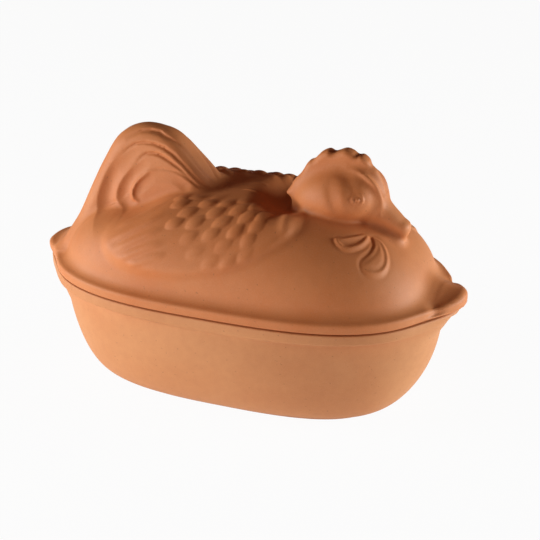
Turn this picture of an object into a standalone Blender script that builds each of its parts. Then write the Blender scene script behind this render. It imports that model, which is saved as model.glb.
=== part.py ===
"""Oval roasting dish of unglazed clay with a lid modelled as a sitting hen.

Two fired pieces make the whole: the dish with its two lugs, and the lid that rests on the
dish rim.  Metres, +Z up, +X towards the hen's head, origin at the centre of the foot.
"""
import math

import bmesh
import bpy
import numpy as np
from mathutils import Matrix

# Dish, outside
RIM_HALF_LENGTH = 0.1658
RIM_HALF_WIDTH = 0.0975
RIM_POWER_X = 2.92
RIM_POWER_Y = 2.49
RIM_HEIGHT = 0.097
RIM_BAND_HEIGHT = 0.0135
RIM_BAND_STEP = 0.0009
WALL_POWER_X = 2.2
WALL_POWER_Y = 1.95
WALL_TUCK = 0.0020
FOOT_HALF_LENGTH = 0.1192
FOOT_HALF_WIDTH = 0.0606
FOOT_POWER = 2.85
FOOT_HEIGHT = 0.003
FOOT_STEP = 0.0007
FLARE_POWER = 1.72
FLARE_ROOT = 1.95

# Dish, inside
RIM_LAND = 0.011
DISH_WALL = 0.0085
DISH_FLOOR = 0.010
LAND_DEPTH = 0.004
EDGE_ROUND = 0.0012

# Lugs of the lid and, under them, those of the dish
LUG_REACH = 0.0192
LUG_HALF_WIDTH = 0.0287
LUG_POWER = 2.4
LUG_SHARPNESS = 4
DISH_LUG_HALF_WIDTH = 0.034
HEAD_LUG_REACH = 0.0147
HEAD_LUG_DEPTH = 0.0255
HEAD_LUG_FADE = (0.92, 0.93)
TAIL_LUG_REACH = 0.0155
TAIL_LUG_DEPTH = 0.033
TAIL_LUG_FADE = (2.5, 0.55)

# Lid rim
SEAT_GAP = 0.0003
BAND_HEIGHT = 0.0078
BAND_ROUND = 0.0010
LUG_ROUND = 0.0030
HEAD_LUG_RISE = 0.0045
TAIL_LUG_RISE = -0.0006
LUG_RISE_HALF_WIDTH = 0.0175
LUG_RISE_START = 0.149
TONGUE_DEPTH = 0.004
TONGUE_WIDTH = 0.005
TONGUE_CLEARANCE = 0.0015
LID_WALL = 0.0085

# Hen, heights measured from the dish rim
BODY_HALF_LENGTH = 0.1568
BODY_HALF_WIDTH = 0.0894
BODY_HEIGHT = 0.0761
BODY_POWER_X = 3.04
BODY_POWER_Y = 2.60
BODY_ROUNDNESS = 0.88
BODY_CREST = 2.10
COVE = 0.0090
LUG_COVE = 0.0128
LUG_COVE_HALF_WIDTH = 0.0226
LUG_COVE_START = 0.12
LUG_COVE_RUN = 0.04

BACK_DIP = 0.0046
BACK_DIP_X = -0.028
BACK_DIP_REACH = (0.028, 0.050)
NECK_HOLLOW = (0.037, 0.0, 0.084)
NECK_RADII = (0.022, 0.046, 0.024)
WING_OUTLINE = (
    (0.0560, 0.0680), (0.0480, 0.0590), (0.0370, 0.0510), (0.0240, 0.0440), (0.0060, 0.0370),
    (-0.0300, 0.0300), (-0.0680, 0.0290), (-0.0900, 0.0340), (-0.0975, 0.0420), (-0.0870, 0.0545),
    (-0.0700, 0.0640), (-0.0540, 0.0725), (-0.0420, 0.0800), (-0.0300, 0.1000), (0.0200, 0.1000),
    (0.0500, 0.0880),
)
WING_RISE = 0.0028
WING_RISE_START = 0.010
WING_RISE_RUN = 0.028
WING_BLEND = 0.006

TAIL_OUTLINE = (
    (-0.1625, 0.0090), (-0.1560, 0.0225), (-0.1450, 0.0415), (-0.1345, 0.0675), (-0.1252, 0.0888),
    (-0.1135, 0.1090), (-0.0960, 0.1187), (-0.0775, 0.1190), (-0.0615, 0.1127), (-0.0462, 0.0958),
    (-0.0286, 0.0752), (-0.0120, 0.0600), (-0.0300, 0.0200), (-0.0900, 0.0010), (-0.1400, 0.0010),
)
TAIL_TOP = 0.119
TAIL_HALF_THICKNESS = 0.013
TAIL_SPREAD = 0.25
TAIL_ROUND = 0.0115

HEAD_OUTLINE = (
    (0.0347, 0.0777), (0.0403, 0.0894), (0.0458, 0.0958), (0.0512, 0.1054), (0.0560, 0.1083),
    (0.0620, 0.1148), (0.0681, 0.1178), (0.0730, 0.1163), (0.0815, 0.1200), (0.0872, 0.1190),
    (0.0917, 0.1160), (0.0963, 0.1164), (0.1008, 0.1132), (0.1036, 0.1085), (0.1082, 0.1042),
    (0.1114, 0.0962), (0.1129, 0.0862), (0.1157, 0.0790), (0.1285, 0.0672), (0.1345, 0.0600),
    (0.1200, 0.0350), (0.0900, 0.0300), (0.0600, 0.0450), (0.0410, 0.0640),
)
HEAD_HALF_THICKNESS = 0.0075
HEAD_ROUND = 0.0060
SKULL = (0.078, 0.0, 0.0806)
SKULL_RADII = (0.0365, 0.0280, 0.0235)
SKULL_PITCH = math.radians(10)
BEAK_ROOT = (0.109, 0.0, 0.072)
BEAK_TIP = (0.1325, 0.0, 0.0545)
BEAK_ROOT_RADIUS = 0.0115
BEAK_TIP_RADIUS = 0.0048

SKIN_TUCK = 0.0003
LEAST_SLOPE = 3.0
SOFT_BLEND = 0.016
FIRM_BLEND = 0.008
TAIL_BLEND = 0.004

# Mesh fineness
EDGE_TURNS = (0.0, math.pi / 4, math.pi / 2)
RING_CROWDING = 1.6
ROUGH_RINGS = 6
RIM_POINTS = 96
WALL_RINGS = 7
CURVE_STEPS = 6
TABLE_CELL = 0.0015
TABLE_MARGIN = 0.04
SKIN_VOXEL = 0.0029
HOLLOW_VOXEL = 0.0045
SKIN_TRIANGLES = 7400
HOLLOW_TRIANGLES = 2200
SETTLE_ROUNDS = 5
SETTLE_DAMPING = 0.05
SETTLE_STRIDE = 0.004
NUDGE = 0.0003
TINY = 1e-9

CLAY_COLOUR = (0.60, 0.24, 0.10, 1.0)
CLAY_ROUGHNESS = 0.92

SEAT = RIM_HEIGHT + SEAT_GAP
HOLLOW_BASE = SEAT - 2 * TONGUE_DEPTH
COLLECTION = "Hen roasting dish"


def clear_scene():
    for thing in list(bpy.data.objects):
        bpy.data.objects.remove(thing, do_unlink=True)


def new_collection(name):
    collection = bpy.data.collections.new(name)
    bpy.context.scene.collection.children.link(collection)
    return collection


def clay_material(name):
    material = bpy.data.materials.new(name)
    material.use_nodes = True
    shader = material.node_tree.nodes["Principled BSDF"]
    shader.inputs["Base Color"].default_value = CLAY_COLOUR
    shader.inputs["Roughness"].default_value = CLAY_ROUGHNESS
    shader.inputs["Metallic"].default_value = 0.0
    return material


def new_object(name, mesh, collection):
    thing = bpy.data.objects.new(name, mesh)
    collection.objects.link(thing)
    return thing


# Plan outlines

def oblong(angles, half_length, half_width, power_x, power_y):
    """A rounded oblong in plan, a point for each angle."""
    c, s = np.cos(angles), np.sin(angles)
    x = half_length * np.sign(c) * np.abs(c) ** (2 / power_x)
    y = half_width * np.sign(s) * np.abs(s) ** (2 / power_y)
    return np.column_stack([x, y])


def with_lugs(outline, head_reach, tail_reach, half_width):
    """The outline with its two ends drawn out into rounded ears."""
    x, y = outline[:, 0], outline[:, 1]
    bump = np.exp(-(np.abs(y) / half_width) ** LUG_POWER) * (np.abs(x) / x.max()) ** LUG_SHARPNESS
    return np.column_stack([x + np.where(x > 0, head_reach, -tail_reach) * bump, y])


def even_angles(count):
    """Angles whose points lie evenly along the lugged rim, alike in all four quarters."""
    angles = np.linspace(0, math.pi / 2, 2000)
    outline = oblong(angles, RIM_HALF_LENGTH, RIM_HALF_WIDTH, RIM_POWER_X, RIM_POWER_Y)
    outline = with_lugs(outline, LUG_REACH, LUG_REACH, LUG_HALF_WIDTH)
    along = np.append(0.0, np.linalg.norm(np.diff(outline, axis=0), axis=1).cumsum())
    stops = np.linspace(0, along[-1], count // 4 + 1)
    half = np.interp(stops, along, angles)
    half = np.append(half, math.pi - half[-2::-1])
    return np.append(half, math.pi + half[1:-1])


def oval(half_length, half_width, power_x, power_y):
    return oblong(ANGLES, half_length, half_width, power_x, power_y)


def rim_oval(inset):
    return oval(RIM_HALF_LENGTH - inset, RIM_HALF_WIDTH - inset, RIM_POWER_X, RIM_POWER_Y)


def lugged_rim(inset, reach=LUG_REACH):
    return with_lugs(rim_oval(inset), reach, reach, LUG_HALF_WIDTH)


def drawn_in(outline, amount):
    """The outline moved inwards, by one amount or by an amount for each point."""
    along = np.roll(outline, -1, 0) - np.roll(outline, 1, 0)
    outward = np.column_stack([along[:, 1], -along[:, 0]])
    outward /= np.linalg.norm(outward, axis=1)[:, None]
    return outline - outward * np.broadcast_to(amount, len(outline))[:, None]


def lug_share(x, y):
    """Nothing along the sides of the rim, rising to one in the middle of each lug."""
    reach = np.clip((np.abs(x) - LUG_RISE_START) / (RIM_HALF_LENGTH - LUG_RISE_START), 0, 1)
    return reach * np.exp(-(y / LUG_RISE_HALF_WIDTH) ** 2)


def edge_round(least, outline):
    """Rounding of an edge along the outline, larger at the lugs."""
    return least + lug_share(outline[:, 0], outline[:, 1]) * LUG_ROUND


def throat_oval():
    return rim_oval(RIM_LAND + TONGUE_CLEARANCE + TONGUE_WIDTH)


def ring(outline, height):
    return np.column_stack([outline, np.full(len(outline), height)])


def loft(name, rings):
    """A closed solid through rings of equal count, capped flat at both ends."""
    bm = bmesh.new()
    rows = [[bm.verts.new(point) for point in row] for row in rings]
    count = len(rows[0])
    for lower, upper in zip(rows, rows[1:]):
        for i in range(count):
            j = (i + 1) % count
            bm.faces.new((lower[i], lower[j], upper[j], upper[i]))
    bm.faces.new(list(reversed(rows[0])))
    bm.faces.new(rows[-1])
    bmesh.ops.recalc_face_normals(bm, faces=bm.faces)
    mesh = bpy.data.meshes.new(name)
    bm.to_mesh(mesh)
    bm.free()
    return mesh


# Dish

def flare(share):
    """How far the wall has spread from foot to rim at a share of its height."""
    return (1 - (1 - share) ** FLARE_POWER) ** (1 / FLARE_ROOT)


def wall_oval(share, inset):
    s = flare(share)
    foot_length = FOOT_HALF_LENGTH + FOOT_STEP
    foot_width = FOOT_HALF_WIDTH + FOOT_STEP
    top_length = RIM_HALF_LENGTH - RIM_BAND_STEP
    top_width = RIM_HALF_WIDTH - RIM_BAND_STEP - WALL_TUCK
    return oval(foot_length + (top_length - foot_length) * s - inset,
                foot_width + (top_width - foot_width) * s - inset,
                FOOT_POWER + (WALL_POWER_X - FOOT_POWER) * s,
                FOOT_POWER + (WALL_POWER_Y - FOOT_POWER) * s)


def lug_fade(height, depth, fade):
    """Share of a dish lug's reach at a height: all of it at the rim, none at its root."""
    drop = min((RIM_HEIGHT - height) / depth, 1.0)
    return (1 - drop ** fade[0]) ** fade[1]


def with_dish_lugs(outline, height):
    return with_lugs(outline,
                     HEAD_LUG_REACH * lug_fade(height, HEAD_LUG_DEPTH, HEAD_LUG_FADE),
                     TAIL_LUG_REACH * lug_fade(height, TAIL_LUG_DEPTH, TAIL_LUG_FADE),
                     DISH_LUG_HALF_WIDTH)


def dish_rings():
    foot = oval(FOOT_HALF_LENGTH, FOOT_HALF_WIDTH, FOOT_POWER, FOOT_POWER)
    rings = [ring(drawn_in(foot, FOOT_STEP), 0.0), ring(foot, FOOT_STEP),
             ring(foot, FOOT_HEIGHT - FOOT_STEP)]
    band_base = RIM_HEIGHT - RIM_BAND_HEIGHT
    for i in range(WALL_RINGS + 1):
        share = (i / WALL_RINGS) ** RING_CROWDING
        height = FOOT_HEIGHT + (band_base - FOOT_HEIGHT) * share
        rings.append(ring(with_dish_lugs(wall_oval(share, 0.0), height), height))
    height = band_base + RIM_BAND_STEP
    rings.append(ring(with_dish_lugs(rim_oval(0.0), height), height))
    rim = with_dish_lugs(rim_oval(0.0), RIM_HEIGHT - EDGE_ROUND)
    edge = edge_round(EDGE_ROUND, rim)
    for turn in EDGE_TURNS:
        outline = drawn_in(rim, (1 - math.cos(turn)) * edge)
        rings.append(np.column_stack([outline, RIM_HEIGHT - (1 - math.sin(turn)) * edge]))
    rings.append(ring(rim_oval(RIM_LAND - EDGE_ROUND), RIM_HEIGHT))
    rings.append(ring(rim_oval(RIM_LAND), RIM_HEIGHT - EDGE_ROUND))
    inner_top = band_base - LAND_DEPTH
    for i in range(WALL_RINGS, -1, -1):
        share = (i / WALL_RINGS) ** RING_CROWDING
        height = DISH_FLOOR + (inner_top - DISH_FLOOR) * share
        rings.append(ring(wall_oval(share, DISH_WALL), height))
    return rings


def build_dish(collection):
    mesh = loft("base_dish", dish_rings())
    dish = new_object("base_dish", mesh, collection)
    mesh.materials.append(clay_material("clay_dish"))
    mesh.shade_smooth()
    mesh.set_sharp_from_angle(angle=math.radians(40))
    return dish


# Lid forms, as signed distances from their surfaces

def smooth_min(a, b, blend):
    overlap = np.maximum(blend - np.abs(a - b), 0.0) / blend
    return np.minimum(a, b) - overlap * overlap * blend / 4


def smooth_max(a, b, blend):
    return -smooth_min(-a, -b, blend)


def ellipsoid(p, centre, radii, pitch=0.0):
    q = p - np.array(centre)
    c, s = math.cos(pitch), math.sin(pitch)
    turned = np.column_stack([c * q[:, 0] + s * q[:, 2], q[:, 1], c * q[:, 2] - s * q[:, 0]])
    local = turned / np.array(radii)
    k = np.linalg.norm(local, axis=1) + TINY
    slope = np.linalg.norm(local / np.array(radii), axis=1) + TINY
    return k * (k - 1) / slope


def tapered_rod(p, start, end, start_radius, end_radius):
    a, b = np.array(start), np.array(end)
    along = np.clip(((p - a) @ (b - a)) / ((b - a) @ (b - a)), 0, 1)
    radius = start_radius + (end_radius - start_radius) * along
    return np.linalg.norm(p - a - along[:, None] * (b - a), axis=1) - radius


def smooth_loop(points):
    """A closed curve through the points, bending evenly from each to the next."""
    pts = np.array(points)
    before, after, beyond = np.roll(pts, 1, 0), np.roll(pts, -1, 0), np.roll(pts, -2, 0)
    rows = []
    for step in range(CURVE_STEPS):
        t = step / CURVE_STEPS
        rows.append(0.5 * (2 * pts + (after - before) * t
                           + (2 * before - 5 * pts + 4 * after - beyond) * t ** 2
                           + (3 * pts - before - 3 * after + beyond) * t ** 3))
    return np.stack(rows, 1).reshape(-1, 2)


def flat_distance(loop):
    """A function giving the signed distance from a closed flat curve, read from a table."""
    low, high = loop.min(0) - TABLE_MARGIN, loop.max(0) + TABLE_MARGIN
    shape = np.ceil((high - low) / TABLE_CELL).astype(int) + 1
    u = low[0] + np.arange(shape[0]) * TABLE_CELL
    v = low[1] + np.arange(shape[1]) * TABLE_CELL
    grid = np.stack(np.meshgrid(u, v, indexing="ij"), -1).reshape(-1, 2)
    best = np.full(len(grid), np.inf)
    inside = np.zeros(len(grid), bool)
    for a, b in zip(loop, np.roll(loop, -1, 0)):
        edge = b - a
        offset = grid - a
        t = np.clip(offset @ edge / (edge @ edge), 0, 1)
        best = np.minimum(best, ((offset - t[:, None] * edge) ** 2).sum(1))
        crosses = (a[1] > grid[:, 1]) != (b[1] > grid[:, 1])
        if a[1] != b[1]:
            where = a[0] + (grid[:, 1] - a[1]) * edge[0] / edge[1]
            inside ^= crosses & (grid[:, 0] < where)
    table = (np.sqrt(best) * np.where(inside, -1, 1)).reshape(shape)

    def distance(x, y):
        i = np.clip((x - low[0]) / TABLE_CELL, 0, shape[0] - 1.001)
        j = np.clip((y - low[1]) / TABLE_CELL, 0, shape[1] - 1.001)
        i0, j0 = i.astype(int), j.astype(int)
        di, dj = i - i0, j - j0
        near = table[i0, j0] * (1 - dj) + table[i0, j0 + 1] * dj
        far = table[i0 + 1, j0] * (1 - dj) + table[i0 + 1, j0 + 1] * dj
        return near * (1 - di) + far * di

    return distance


def rounded_slab(flat, across, radius):
    """Distance from a slab, given those from its outline and its two faces."""
    a, b = flat + radius, across + radius
    outside = np.hypot(np.maximum(a, 0), np.maximum(b, 0))
    return np.minimum(np.maximum(a, b), 0) + outside - radius


def body(p):
    """The plain domed body, wide at the rim and closing over at its crest."""
    x, y = np.abs(p[:, 0]) / BODY_HALF_LENGTH, np.abs(p[:, 1]) / BODY_HALF_WIDTH
    across = ((p[:, 0] - BACK_DIP_X) / BACK_DIP_REACH[0]) ** 2 + (p[:, 1] / BACK_DIP_REACH[1]) ** 2
    t = np.maximum(p[:, 2] - RIM_HEIGHT + BACK_DIP * np.exp(-across), 0) / BODY_HEIGHT
    plan = x ** BODY_POWER_X + y ** BODY_POWER_Y + TINY
    value = plan ** BODY_ROUNDNESS + t ** BODY_CREST - 1
    lead = BODY_ROUNDNESS * plan ** (BODY_ROUNDNESS - 1)
    slope = np.sqrt((lead * BODY_POWER_X * x ** (BODY_POWER_X - 1) / BODY_HALF_LENGTH) ** 2
                    + (lead * BODY_POWER_Y * y ** (BODY_POWER_Y - 1) / BODY_HALF_WIDTH) ** 2
                    + (BODY_CREST * t ** (BODY_CREST - 1) / BODY_HEIGHT) ** 2)
    return value / (slope + LEAST_SLOPE)


def band_top(x, y):
    """Height of the rim band above the seat."""
    return BAND_HEIGHT + lug_share(x, y) * np.where(x > 0, HEAD_LUG_RISE, TAIL_LUG_RISE)


def hen(tables, p):
    """Distance from the hen's soft masses, without the rim, comb and beak."""
    x, y, z = p[:, 0], np.abs(p[:, 1]), p[:, 2] - RIM_HEIGHT
    q = np.column_stack([x, y, z])
    d = smooth_max(body(p), -ellipsoid(q, NECK_HOLLOW, NECK_RADII), SOFT_BLEND)
    rise = WING_RISE * np.clip((y - WING_RISE_START) / WING_RISE_RUN, 0, 1)
    wing = smooth_max(d - rise, tables["wing"](x, z), FIRM_BLEND)
    d = smooth_min(d, wing, WING_BLEND)
    spread = TAIL_HALF_THICKNESS + TAIL_SPREAD * np.maximum(TAIL_TOP - z, 0)
    tail = rounded_slab(tables["tail"](x, z), y - spread, TAIL_ROUND)
    d = smooth_min(d, tail, TAIL_BLEND)
    return smooth_min(d, ellipsoid(q, SKULL, SKULL_RADII, SKULL_PITCH), FIRM_BLEND)


def skin(tables, p):
    """Distance from the outside of the lid above its rim band."""
    x, y, z = p[:, 0], np.abs(p[:, 1]), p[:, 2] - RIM_HEIGHT
    q = np.column_stack([x, y, z])
    d = hen(tables, p)
    head = rounded_slab(tables["head"](x, z), y - HEAD_HALF_THICKNESS, HEAD_ROUND)
    d = smooth_min(d, head, SOFT_BLEND)
    beak = tapered_rod(q, BEAK_ROOT, BEAK_TIP, BEAK_ROOT_RADIUS, BEAK_TIP_RADIUS)
    d = smooth_min(d, beak, FIRM_BLEND)
    flat = tables["rim"](x, y) + SKIN_TUCK
    edge = edge_round(BAND_ROUND, p)
    rim = rounded_slab(flat, z - SEAT_GAP - band_top(x, y) + SKIN_TUCK, edge)
    along = np.clip((np.abs(x) - LUG_COVE_START) / LUG_COVE_RUN, 0, 1)
    cove = COVE + LUG_COVE * along * np.exp(-(y / LUG_COVE_HALF_WIDTH) ** 2)
    d = smooth_min(d, rim, cove)
    d = np.maximum(d, flat)
    return np.maximum(d, SEAT + BAND_ROUND - p[:, 2])


def hollow(tables, p):
    """Distance from the space inside the lid, which opens downwards."""
    throat = tables["throat"](p[:, 0], p[:, 1])
    d = smooth_max(hen(tables, p) + LID_WALL, throat, FIRM_BLEND)
    return np.maximum(d, HOLLOW_BASE - p[:, 2])


def form_tables():
    return {
        "tail": flat_distance(smooth_loop(TAIL_OUTLINE)),
        "wing": flat_distance(smooth_loop(WING_OUTLINE)),
        "head": flat_distance(smooth_loop(HEAD_OUTLINE)),
        "rim": flat_distance(lugged_rim(0.0)),
        "throat": flat_distance(throat_oval()),
    }


def settle(mesh, field):
    """Draws each vertex along the field's slope until it lies on the field's surface."""
    count = len(mesh.vertices)
    p = np.empty(count * 3)
    mesh.vertices.foreach_get("co", p)
    p = p.reshape(-1, 3)
    for _ in range(SETTLE_ROUNDS):
        value = field(p)
        slope = np.column_stack([field(p + NUDGE * axis) - value for axis in np.eye(3)]) / NUDGE
        size = (slope ** 2).sum(1) + SETTLE_DAMPING
        step = value[:, None] * slope / size[:, None]
        length = np.linalg.norm(step, axis=1)[:, None] + TINY
        p = p - step * np.minimum(1, SETTLE_STRIDE / length)
    mesh.vertices.foreach_set("co", p.ravel())
    mesh.update()


def evaluated_mesh(thing):
    graph = bpy.context.evaluated_depsgraph_get()
    return bpy.data.meshes.new_from_object(thing.evaluated_get(graph))


def remeshed(mesh, voxel, guides):
    thing = new_object("rough", mesh, guides)
    remesh = thing.modifiers.new("Even out", "REMESH")
    remesh.mode = "VOXEL"
    remesh.voxel_size = voxel
    result = evaluated_mesh(thing)
    bpy.data.objects.remove(thing)
    return result


def decimated(mesh, triangles, guides):
    thing = new_object("dense", mesh, guides)
    present = sum(len(face.vertices) - 2 for face in mesh.polygons)
    reduce = thing.modifiers.new("Fewer faces", "DECIMATE")
    reduce.ratio = min(1.0, triangles / present)
    reduce.use_symmetry = False
    result = evaluated_mesh(thing)
    bpy.data.objects.remove(thing)
    return result


def add_ball(bm, centre, radii, pitch=0.0):
    place = (Matrix.Translation(centre) @ Matrix.Rotation(-pitch, 4, "Y")
             @ Matrix.Diagonal((*radii, 1.0)))
    bmesh.ops.create_uvsphere(bm, u_segments=24, v_segments=16, radius=1.0, matrix=place)


def add_outline(bm, outline, half_thickness, guides):
    """A flat closed curve of the outline, given its thickness and stood upright."""
    curve = bpy.data.curves.new("outline", "CURVE")
    curve.dimensions = "2D"
    curve.fill_mode = "BOTH"
    curve.extrude = half_thickness
    loop = smooth_loop(outline)
    spline = curve.splines.new("POLY")
    spline.points.add(len(loop) - 1)
    for point, (x, z) in zip(spline.points, loop):
        point.co = (x, z, 0, 1)
    spline.use_cyclic_u = True
    thing = new_object("outline", curve, guides)
    mesh = evaluated_mesh(thing)
    mesh.transform(Matrix.Translation((0, 0, RIM_HEIGHT)) @ Matrix.Rotation(math.pi / 2, 4, "X"))
    bm.from_mesh(mesh)
    bpy.data.objects.remove(thing)


def above_rim(point):
    return (point[0], point[1], point[2] + RIM_HEIGHT)


def rough_hen(guides):
    """The hen's masses as plain overlapping solids, before they are melted together."""
    bm = bmesh.new()
    foot = oval(BODY_HALF_LENGTH, BODY_HALF_WIDTH, BODY_POWER_X, BODY_POWER_Y)
    rings = [ring(foot, HOLLOW_BASE)]
    for i in range(ROUGH_RINGS):
        t = i / ROUGH_RINGS
        shrink = (1 - t ** BODY_CREST) ** (1 / (BODY_ROUNDNESS * BODY_POWER_X))
        rings.append(ring(foot * shrink, RIM_HEIGHT + BODY_HEIGHT * t))
    bm.from_mesh(loft("body", rings))
    add_ball(bm, above_rim(SKULL), SKULL_RADII, SKULL_PITCH)
    add_outline(bm, TAIL_OUTLINE, TAIL_HALF_THICKNESS, guides)
    return bm


def to_mesh(bm, name):
    mesh = bpy.data.meshes.new(name)
    bm.to_mesh(mesh)
    bm.free()
    return mesh


def cut_below(bm, height):
    """Cuts away what reaches below a height and closes each cut face."""
    geometry = bm.verts[:] + bm.edges[:] + bm.faces[:]
    bmesh.ops.bisect_plane(bm, geom=geometry, plane_co=(0, 0, height), plane_no=(0, 0, 1),
                           clear_inner=True)
    bmesh.ops.holes_fill(bm, edges=[edge for edge in bm.edges if edge.is_boundary])


def melted(bm, floor, voxel, field, guides):
    """Melts overlapping solids into one skin and settles it on the field, twice over."""
    cut_below(bm, floor)
    mesh = to_mesh(bm, "mass")
    for _ in range(2):
        mesh = remeshed(mesh, voxel, guides)
        settle(mesh, field)
    return mesh


def lid_skin(tables, guides):
    bm = rough_hen(guides)
    add_outline(bm, HEAD_OUTLINE, HEAD_HALF_THICKNESS, guides)
    add_ball(bm, above_rim(BEAK_TIP), [2 * BEAK_TIP_RADIUS] * 3)
    band = [ring(lugged_rim(BAND_ROUND), SEAT + level) for level in (0, BAND_HEIGHT)]
    bm.from_mesh(loft("band", band))
    mesh = melted(bm, SEAT + BAND_ROUND, SKIN_VOXEL, lambda p: skin(tables, p), guides)
    return decimated(mesh, SKIN_TRIANGLES, guides)


def lid_hollow(tables, guides):
    mesh = melted(rough_hen(guides), HOLLOW_BASE, HOLLOW_VOXEL,
                  lambda p: hollow(tables, p), guides)
    return decimated(mesh, HOLLOW_TRIANGLES, guides)


def band_rings():
    """The lid's rim band with its flat seat and, inside the seat, the locating tongue."""
    tongue = RIM_LAND + TONGUE_CLEARANCE
    rim = lugged_rim(0.0)
    top, edge = band_top(rim[:, 0], rim[:, 1]), edge_round(BAND_ROUND, rim)
    rings = [ring(rim_oval(tongue + BAND_ROUND), SEAT - TONGUE_DEPTH),
             ring(rim_oval(tongue), SEAT - TONGUE_DEPTH + BAND_ROUND),
             ring(rim_oval(tongue), SEAT)]
    for turn in EDGE_TURNS:
        outline = drawn_in(rim, (1 - math.sin(turn)) * edge)
        rings.append(np.column_stack([outline, SEAT + (1 - math.cos(turn)) * edge]))
    for turn in EDGE_TURNS:
        outline = drawn_in(rim, (1 - math.cos(turn)) * edge)
        rings.append(np.column_stack([outline, SEAT + top - (1 - math.sin(turn)) * edge]))
    rings.append(np.column_stack([drawn_in(rim, 2 * edge), SEAT + top - edge]))
    return rings


def boolean(thing, other, operation):
    cut = thing.modifiers.new(other.name, "BOOLEAN")
    cut.operation = operation
    cut.object = other
    cut.solver = "EXACT"


def build_lid(collection, cutters):
    tables = form_tables()
    lid = new_object("lid", loft("lid", band_rings()), collection)
    sculpt = new_object("hen_mass", lid_skin(tables, cutters), cutters)
    inside = new_object("lid_hollow", lid_hollow(tables, cutters), cutters)
    for guide in (sculpt, inside):
        guide.hide_render = True
        guide.display_type = "WIRE"
    boolean(lid, sculpt, "UNION")
    boolean(lid, inside, "DIFFERENCE")
    lid.data.materials.append(clay_material("clay_lid"))
    lid.data.shade_smooth()
    return lid


ANGLES = even_angles(RIM_POINTS)


def build():
    clear_scene()
    collection = new_collection(COLLECTION)
    cutters = new_collection("Cutters")
    build_dish(collection)
    build_lid(collection, cutters)


build()
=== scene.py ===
"""Looks for the covered clay roasting dish: a finely modelled hen lid and dish in terracotta.

The lid and the dish of the frame are each replaced by a mesh of the same form with its relief
cut in full: tail feathers, wing feathers, comb, face and wattles.  Metres, +Z up, +X towards
the hen's head.
"""
import math

import bmesh
import bpy
import numpy as np
from mathutils import Matrix, Vector


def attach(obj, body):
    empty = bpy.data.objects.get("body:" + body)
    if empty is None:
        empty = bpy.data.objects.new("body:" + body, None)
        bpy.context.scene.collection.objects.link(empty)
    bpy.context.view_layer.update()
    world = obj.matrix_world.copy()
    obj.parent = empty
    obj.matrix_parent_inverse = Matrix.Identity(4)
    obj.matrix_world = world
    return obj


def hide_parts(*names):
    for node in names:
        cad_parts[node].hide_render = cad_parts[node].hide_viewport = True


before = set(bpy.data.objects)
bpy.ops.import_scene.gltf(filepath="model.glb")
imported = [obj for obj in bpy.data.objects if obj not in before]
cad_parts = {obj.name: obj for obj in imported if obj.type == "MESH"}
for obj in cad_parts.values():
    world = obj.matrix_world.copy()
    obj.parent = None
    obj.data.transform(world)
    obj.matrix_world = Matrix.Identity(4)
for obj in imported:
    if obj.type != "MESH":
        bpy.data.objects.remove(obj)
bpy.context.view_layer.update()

MM = 0.001

# Dish, outside
RIM_HALF_LENGTH = 0.1658
RIM_HALF_WIDTH = 0.0975
RIM_POWER_X = 2.92
RIM_POWER_Y = 2.49
RIM_HEIGHT = 0.097
RIM_BAND_HEIGHT = 0.0135
RIM_BAND_STEP = 0.0009
WALL_POWER_X = 2.2
WALL_POWER_Y = 1.95
WALL_TUCK = 0.0020
FOOT_HALF_LENGTH = 0.1192
FOOT_HALF_WIDTH = 0.0606
FOOT_POWER = 2.85
FOOT_HEIGHT = 0.003
FOOT_STEP = 0.0007
FLARE_POWER = 1.72
FLARE_ROOT = 1.95
BAND_FADE = 0.0045
DISH_EDGE_ROUND = 0.0012
SLOT_HEIGHT = 0.0011
SLOT_DEPTH = 0.0028

# Dish, inside
RIM_LAND = 0.011
DISH_WALL = 0.0085
DISH_FLOOR = 0.010
LAND_DEPTH = 0.004
EDGE_ROUND = 0.0012

# Lugs
LUG_REACH = 0.0192
LUG_HALF_WIDTH = 0.0287
LUG_POWER = 2.4
LUG_SHARPNESS = 4
DISH_LUG_HALF_WIDTH = 0.034
HEAD_LUG_REACH = 0.0147
HEAD_LUG_DEPTH = 0.0255
HEAD_LUG_FADE = (0.92, 0.93)
TAIL_LUG_REACH = 0.0155
TAIL_LUG_DEPTH = 0.033
TAIL_LUG_FADE = (2.5, 0.55)

# Lid rim
SEAT_GAP = 0.0003
BAND_HEIGHT = 0.0078
BAND_ROUND = 0.0010
SEAM_ROUND = 0.0013
TOP_ROUND = 0.0022
OVERHANG = 0.0006
LUG_ROUND = 0.0030
HEAD_LUG_RISE = 0.0045
TAIL_LUG_RISE = -0.0006
LUG_RISE_HALF_WIDTH = 0.0175
LUG_RISE_START = 0.149
TONGUE_DEPTH = 0.004
TONGUE_WIDTH = 0.005
TONGUE_CLEARANCE = 0.0015
LID_WALL = 0.0085

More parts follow.
